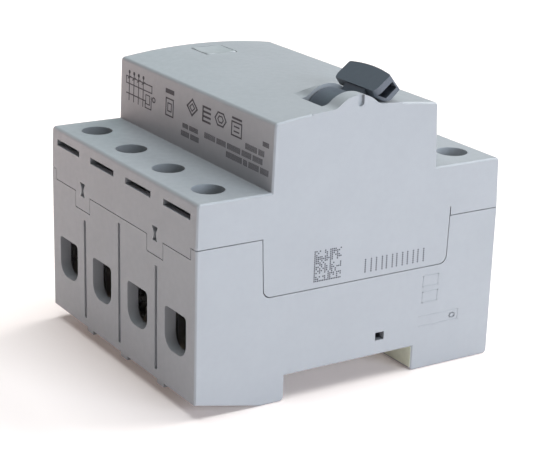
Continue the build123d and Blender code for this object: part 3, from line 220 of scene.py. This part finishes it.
def printed_ink(name, colour):
    """Pad-printed ink: matt, a little uneven where it lies thin."""
    material, tree, shader = new_material(name, specular=0.3)
    thin = noise(tree, size_mm=0.35, detail=3)
    base = blend_colours(tree, remap(tree, thin, 0, 0.5), shade(colour, 1.0), shade(colour, 1.9))
    connect(tree, shader, base=base, roughness=remap(tree, thin, 0.55, 0.75),
            normal=bump_stack(tree, [(thin, 0.008, 0.5)]))
    return material


HOUSING = (0.336, 0.351, 0.377)

MATERIALS = {
    "housing_plastic": moulded_plastic("housing_plastic", HOUSING),
    "toggle_plastic": moulded_plastic("toggle_plastic", (0.086, 0.100, 0.124), (0.36, 0.5),
                                      grain_mm=0.3, grain_depth=0.016),
    "button_plastic": moulded_plastic("button_plastic", (0.34, 0.36, 0.38), (0.40, 0.54), grain_mm=0.3),
    "clip_plastic": moulded_plastic("clip_plastic", (0.60, 0.60, 0.45), (0.4, 0.55), grain_mm=0.35),
    "thermoset": moulded_plastic("thermoset", (0.035, 0.030, 0.028), (0.5, 0.7),
                                  grain_mm=0.15, grain_depth=0.02),
    "relay_plastic": moulded_plastic("relay_plastic", (0.05, 0.055, 0.06), (0.45, 0.6)),
    "ceramic": moulded_plastic("ceramic", (0.62, 0.53, 0.38), (0.3, 0.5), grain_mm=0.12, grain_depth=0.02),
    "zinc_steel": plated_metal("zinc_steel", (0.56, 0.57, 0.58), stretch=(1, 1, 0.12)),
    "spring_steel": plated_metal("spring_steel", (0.42, 0.42, 0.43), (0.2, 0.34), stretch=(0.2, 1, 1)),
    "copper": plated_metal("copper", (0.80, 0.42, 0.27), (0.22, 0.4), tint=(0.78, 0.62, 0.6),
                           stretch=(1, 0.1, 1)),
    "silvered_copper": plated_metal("silvered_copper", (0.72, 0.62, 0.52), (0.2, 0.36), tint=(0.95, 0.75, 0.6),
                                    stretch=(1, 0.1, 1)),
    "braid_copper": braid_metal("braid_copper", (0.74, 0.36, 0.22)),
    "core_coating": enamel("core_coating", (0.05, 0.14, 0.30)),
    "enamelled_wire": enamel("enamelled_wire", (0.42, 0.10, 0.035)),
    "lead_insulation": enamel("lead_insulation", (0.55, 0.45, 0.05), (0.3, 0.42)),
}

RAIL_SLOT = next(opening for opening in RECORD["physics"]["openings"] if opening["name"] == "rail_slot")
SLOT_WALL_Y = 18.0 * MM
SLOT_DEPTH = RAIL_SLOT["box_m"][1][2] + 0.1 * MM
# painted bounce light: the rail slot's load-side wall is painted paler and yellower than the housing
paint_slot_wall_bounce_light(MATERIALS["housing_plastic"], SLOT_WALL_Y, SLOT_DEPTH, (0.80, 0.82, 0.66))

for node_name, node in NODES.items():
    node.data.materials.clear()
    node.data.materials.append(MATERIALS[SLOT_OF[node_name]])

INK = printed_ink("ink_grey", (0.055, 0.055, 0.065))

# ---------------------------------------------------------------- thin printed and moulded marks
# Places and sizes are in millimetres. On the wall u is X, on the end face u is Y, and v is Z on both.
HALF_W = cad_box[1].x / MM
WALL_LOW = (-22.7, 50.0)
WALL_HIGH = (-22.35, 65.4)
INK_RISE = 0.03
INK_ROOT = 0.03


def on_end(u, v, rise):
    """A point of the near end face, from Y and Z in millimetres."""
    return Vector((HALF_W + rise, u, v)) * MM


def on_wall(u, v, rise):
    """A point of the raised block's wall above the line terminals, from X and Z in millimetres."""
    share = (v - WALL_LOW[1]) / (WALL_HIGH[1] - WALL_LOW[1])
    return Vector((u, WALL_LOW[0] + share * (WALL_HIGH[0] - WALL_LOW[0]) - rise, v)) * MM


def raised_mark(name, outlines, place, material, rise=INK_RISE):
    """One piece made of thin prisms over the given outlines, set a little into the surface."""
    mesh = bpy.data.meshes.new(name)
    bm = bmesh.new()
    for outline in outlines:
        low = [bm.verts.new(place(u, v, -INK_ROOT)) for u, v in outline]
        high = [bm.verts.new(place(u, v, rise)) for u, v in outline]
        bm.faces.new(list(reversed(low)))
        bm.faces.new(high)
        for index in range(len(outline)):
            after = (index + 1) % len(outline)
            bm.faces.new((low[index], low[after], high[after], high[index]))
    bmesh.ops.recalc_face_normals(bm, faces=bm.faces)
    bm.to_mesh(mesh)
    bm.free()
    piece = bpy.data.objects.new(name, mesh)
    scene.collection.objects.link(piece)
    mesh.materials.append(material)
    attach(piece, "housing")


def stroke(start, end, width):
    """A straight line of a given width with square ends, as an outline."""
    a, b = Vector(start), Vector(end)
    along = (b - a).normalized() * (width / 2)
    across = Vector((-along.y, along.x))
    a, b = a - along, b + along
    return [tuple(a + across), tuple(a - across), tuple(b - across), tuple(b + across)]


def polyline(points, width, closed=False):
    """A chain of strokes through the points."""
    pairs = list(zip(points, points[1:]))
    if closed:
        pairs.append((points[-1], points[0]))
    return [stroke(a, b, width) for a, b in pairs]


def round_points(centre, radii, sides):
    """Points around an ellipse."""
    return [(centre[0] + radii[0] * math.cos(2 * math.pi * k / sides),
             centre[1] + radii[1] * math.sin(2 * math.pi * k / sides)) for k in range(sides)]


def ring(centre, radii, width, sides):
    """An elliptical line as a closed chain of short strokes."""
    return polyline(round_points(centre, radii, sides), width, closed=True)


def box_outline(u, v):
    """A filled rectangle between two limits each way."""
    return [(u[0], v[0]), (u[1], v[0]), (u[1], v[1]), (u[0], v[1])]


def box_line(u, v, width):
    """The edge of a rectangle as a line."""
    return polyline(box_outline(u, v), width, closed=True)


def diamond_line(centre, reach, width):
    """The edge of a diamond as a line."""
    u, v = centre
    return polyline([(u - reach[0], v), (u, v + reach[1]), (u + reach[0], v), (u, v - reach[1])], width, closed=True)


# shares: of the tick's height, and then of the pitch of its pairs
TICK_PITCH = 0.72
TICK_GAP = 0.496
GROUP_GAP = 0.6


def tick_line(start, end, base, height, width, groups):
    """Pairs of equal upright ticks, in groups that spell nothing, where a line of small print would be."""
    pitch = height * TICK_PITCH
    outlines = []
    u = start
    for pairs in groups:
        for _ in range(pairs):
            if u + pitch > end:
                return outlines
            for tick in (u, u + pitch * TICK_GAP):
                outlines.append(stroke((tick, base), (tick, base + height), width))
            u += pitch
        u += pitch * GROUP_GAP
    return outlines


# wiring diagram: four conductors through a summing coil, a test loop and the trip linkage
POLES = 4
CONDUCTOR_FIRST = -31.0
CONDUCTOR_PITCH = 2.4
CONDUCTOR_V = (55.6, 62.7)
CONDUCTOR_LINE = 0.28
BLADE_REACH = 0.7
BLADE_V = (60.9, 61.6)
CLAMP_V = 62.6
CLAMP_RADII = (0.35, 0.35)
CLAMP_LINE = 0.2
COIL_U, COIL_V = (-32.6, -19.4), (59.7, 61.4)
LOOP = [(-32.4, 57.2), (-22.6, 57.2), (-22.6, 55.6), (-19.6, 55.6), (-19.6, 58.6)]
LOOP_LINE = 0.26
RELAY_U, RELAY_V = (-22.4, -20.4), (56.6, 58.8)
RELAY_LINE = 0.24
BUTTON_CENTRE, BUTTON_RADII = (-18.4, 58.3), (0.7, 0.55)

diagram = []
for pole in range(POLES):
    u = CONDUCTOR_FIRST + pole * CONDUCTOR_PITCH
    diagram.append(stroke((u, CONDUCTOR_V[0]), (u, CONDUCTOR_V[1]), CONDUCTOR_LINE))
    diagram.append(stroke((u - BLADE_REACH, BLADE_V[0]), (u + BLADE_REACH, BLADE_V[1]), CONDUCTOR_LINE))
    diagram += ring((u, CLAMP_V), CLAMP_RADII, CLAMP_LINE, sides=10)
diagram += box_line(COIL_U, COIL_V, LOOP_LINE)
diagram += polyline(LOOP, LOOP_LINE)
diagram += box_line(RELAY_U, RELAY_V, RELAY_LINE)
diagram += ring(BUTTON_CENTRE, BUTTON_RADII, LOOP_LINE, sides=14)
raised_mark("print_wiring_diagram", diagram, on_wall, INK)

# a plain frame under a bar
frame_mark = [box_outline(u=(-12.6, -8.5), v=(61.6, 62.7))]
frame_mark += box_line(u=(-12.3, -8.8), v=(56.3, 60.4), width=0.34)
frame_mark += box_line(u=(-11.4, -9.7), v=(57.4, 59.3), width=0.3)
raised_mark("print_frame_mark", frame_mark, on_wall, INK)

# a row of plain shapes: two diamonds, a comb of bars, two hexagons and a barred square
SHAPE_LINE = 0.36
INNER_LINE = 0.3
BARRED_LINE = 0.34
DIAMOND_CENTRE = (0.1, 60.8)
COMB_U, COMB_BASE, COMB_TOP = (4.8, 8.6), 58.7, 62.5
COMB_BARS, COMB_PITCH, BAR_HEIGHT, SPINE_WIDTH = 4, 1.1, 0.5, 0.5
HEXAGON_CENTRE = (12.9, 61.0)
SQUARE_U = (17.8, 22.0)

shapes = diamond_line(DIAMOND_CENTRE, reach=(2.3, 1.9), width=0.42)
shapes += diamond_line(DIAMOND_CENTRE, reach=(1.1, 0.9), width=INNER_LINE)
for bar in range(COMB_BARS):
    low = COMB_BASE + bar * COMB_PITCH
    shapes.append(box_outline(COMB_U, (low, low + BAR_HEIGHT)))
shapes.append(box_outline((COMB_U[0], COMB_U[0] + SPINE_WIDTH), (COMB_BASE, COMB_TOP)))
shapes += ring(HEXAGON_CENTRE, radii=(2.4, 1.7), width=SHAPE_LINE, sides=6)
shapes += ring(HEXAGON_CENTRE, radii=(1.2, 0.8), width=INNER_LINE, sides=6)
shapes += box_line(SQUARE_U, v=(58.8, 61.9), width=SHAPE_LINE)
shapes.append(box_outline(SQUARE_U, v=(62.5, 63.0)))
for height in (60.9, 59.8):
    shapes.append(stroke((18.9, height), (20.9, height), BARRED_LINE))
raised_mark("print_plain_marks", shapes, on_wall, INK)

# rows of ticks in four heights on the wall, ending at its right edge or left of the plain shapes
RIGHT_END = 34.2
LEFT_START, LEFT_END = -4.0, 4.4
ROW_TOP, ROW_HIGH, ROW_MIDDLE, ROW_LOW = 59.5, 57.1, 55.2, 53.2
WIDE_TICK, NARROW_TICK = 0.2, 0.18

lines = tick_line(start=24.0, end=RIGHT_END, base=ROW_HIGH, height=1.15, width=WIDE_TICK, groups=(6, 3))
lines += tick_line(start=31.0, end=RIGHT_END, base=ROW_TOP, height=0.9, width=NARROW_TICK, groups=(4,))
lines += tick_line(start=6.2, end=RIGHT_END, base=ROW_MIDDLE, height=1.15, width=WIDE_TICK, groups=(6, 5, 7, 5, 5))
lines += tick_line(start=LEFT_START, end=LEFT_END, base=ROW_MIDDLE, height=0.95, width=NARROW_TICK, groups=(4, 6))
lines += tick_line(start=16.0, end=RIGHT_END, base=ROW_LOW, height=1.2, width=WIDE_TICK, groups=(8, 2, 5, 4))
lines += tick_line(start=LEFT_START - 0.6, end=LEFT_END, base=ROW_LOW, height=1.1, width=WIDE_TICK, groups=(5, 5))
raised_mark("print_data_lines", lines, on_wall, INK)

# a square of random dots and a row of dotted ticks on the end face
chance = random.Random(7)
DOT_SIDES = 8
DOTS_BASE = 27.6
CELL = 0.47
CELL_DOT = 0.19
SQUARE_START = -10.8
SQUARE_CELLS = 16
dots = []
for column in range(SQUARE_CELLS):
    for row in range(SQUARE_CELLS):
        edge = column == 0 or row == 0
        if edge or chance.random() < 0.5:
            centre = (SQUARE_START + column * CELL, DOTS_BASE + row * CELL)
            dots.append(round_points(centre, (CELL_DOT, CELL_DOT), DOT_SIDES))
raised_mark("print_dot_square", dots, on_end, INK)

TICK_STARTS = (3.2, 6.3, 9.2, 12.1, 15.2, 18.2)
PAIR_OFFSET = 1.664
TICK_DOTS = 7
DOT_STEP = 0.49
TICK_DOT = 0.2
dotted = []
for start in TICK_STARTS:
    for u in (start, start + PAIR_OFFSET):
        for row in range(TICK_DOTS):
            dotted.append(round_points((u, DOTS_BASE + row * DOT_STEP), (TICK_DOT, TICK_DOT), DOT_SIDES))
raised_mark("print_dotted_row", dotted, on_end, INK)

# low moulded relief on the end face: two rectangles and an open frame round a ring
RELIEF = 0.06
RELIEF_LINE = 0.24
relief = box_line(u=(20.4, 24.8), v=(20.9, 23.5), width=RELIEF_LINE)
relief += box_line(u=(20.4, 24.8), v=(16.9, 19.5), width=RELIEF_LINE)
relief += polyline([(19.8, 13.4), (31.4, 13.4), (31.4, 10.9), (19.8, 10.9)], RELIEF_LINE)
relief += ring((29.6, 12.2), radii=(0.8, 0.6), width=0.22, sides=14)
raised_mark("moulded_relief", relief, on_end, MATERIALS["housing_plastic"], RELIEF)

# ---------------------------------------------------------------- floor, light and camera
floor_mesh = bpy.data.meshes.new("floor")
FLOOR_HALF = 6.0
floor_mesh.from_pydata([(-FLOOR_HALF, -FLOOR_HALF, 0), (FLOOR_HALF, -FLOOR_HALF, 0),
                        (FLOOR_HALF, FLOOR_HALF, 0), (-FLOOR_HALF, FLOOR_HALF, 0)], [], [(0, 1, 2, 3)])
floor = bpy.data.objects.new("floor", floor_mesh)
scene.collection.objects.link(floor)
floor_material, _, floor_shader = new_material("floor_card", base=(0.95, 0.87, 0.86, 1),
                                                        roughness=0.9, specular=0.1)
floor_shader.inputs["Emission Color"].default_value = (1.0, 0.86, 0.76, 1)
floor_shader.inputs["Emission Strength"].default_value = 0.10
floor_mesh.materials.append(floor_material)

world = bpy.data.worlds.new("studio")
scene.world = world
world.use_nodes = True
world.node_tree.nodes["Background"].inputs["Color"].default_value = (1.0, 0.985, 0.98, 1)
world.node_tree.nodes["Background"].inputs["Strength"].default_value = 0.02


AIM = Vector((0.0, 0.0, 0.03))


def softbox(name, place, size, power, colour):
    """A rectangular area light turned towards the object, all in metres."""
    lamp = bpy.data.lights.new(name, "AREA")
    lamp.shape = "RECTANGLE"
    lamp.size, lamp.size_y = size
    lamp.energy = power
    lamp.color = colour
    holder = bpy.data.objects.new(name, lamp)
    holder.location = place
    holder.rotation_euler = (AIM - Vector(place)).to_track_quat("-Z", "Y").to_euler()
    scene.collection.objects.link(holder)


softbox("overhead", place=(0.0, 0.0, 1.1), size=(1.0, 1.0), power=11.2, colour=(0.94, 1.0, 1.0))
softbox("back_high", place=(0.0, 0.9, 0.75), size=(1.0, 0.8), power=13.0, colour=(1.0, 1.0, 0.97))
softbox("key_right", place=(1.2, 0.35, 0.35), size=(0.8, 0.6), power=12.6, colour=(0.8, 0.9, 1.0))
softbox("right_near", place=(0.42, -0.12, 0.14), size=(0.2, 0.2), power=0.08, colour=(1.0, 1.0, 1.0))
softbox("left_side", place=(-1.2, 0.2, 0.5), size=(0.8, 0.6), power=0.9, colour=(0.6, 1.0, 1.0))
softbox("front_close", place=(-0.22, -0.14, 0.06), size=(0.15, 0.1), power=0.095, colour=(1.0, 0.7, 0.63))

LENS = 107.3
SENSOR = 36.0
CAMERA_PLACE = Vector((318.98, -206.30, 155.48)) * MM
CAMERA_AZIMUTH = math.radians(56.92)
CAMERA_ELEVATION = math.radians(18.446)
CAMERA_ROLL = math.radians(1.907)

camera_data = bpy.data.cameras.new("camera")
camera_data.lens = LENS
camera_data.sensor_width = SENSOR
camera_data.clip_start = 0.01
camera = bpy.data.objects.new("camera", camera_data)
scene.collection.objects.link(camera)
scene.camera = camera
forward = Vector((-math.sin(CAMERA_AZIMUTH) * math.cos(CAMERA_ELEVATION),
                  math.cos(CAMERA_AZIMUTH) * math.cos(CAMERA_ELEVATION),
                  -math.sin(CAMERA_ELEVATION)))
level = forward.cross(Vector((0, 0, 1))).normalized()
upright = level.cross(forward)
right = level * math.cos(CAMERA_ROLL) + upright * math.sin(CAMERA_ROLL)
up = right.cross(forward)
turn = Matrix((right, up, -forward)).transposed()
camera.matrix_world = Matrix.Translation(CAMERA_PLACE) @ turn.to_4x4()

scene.view_settings.view_transform = "Standard"
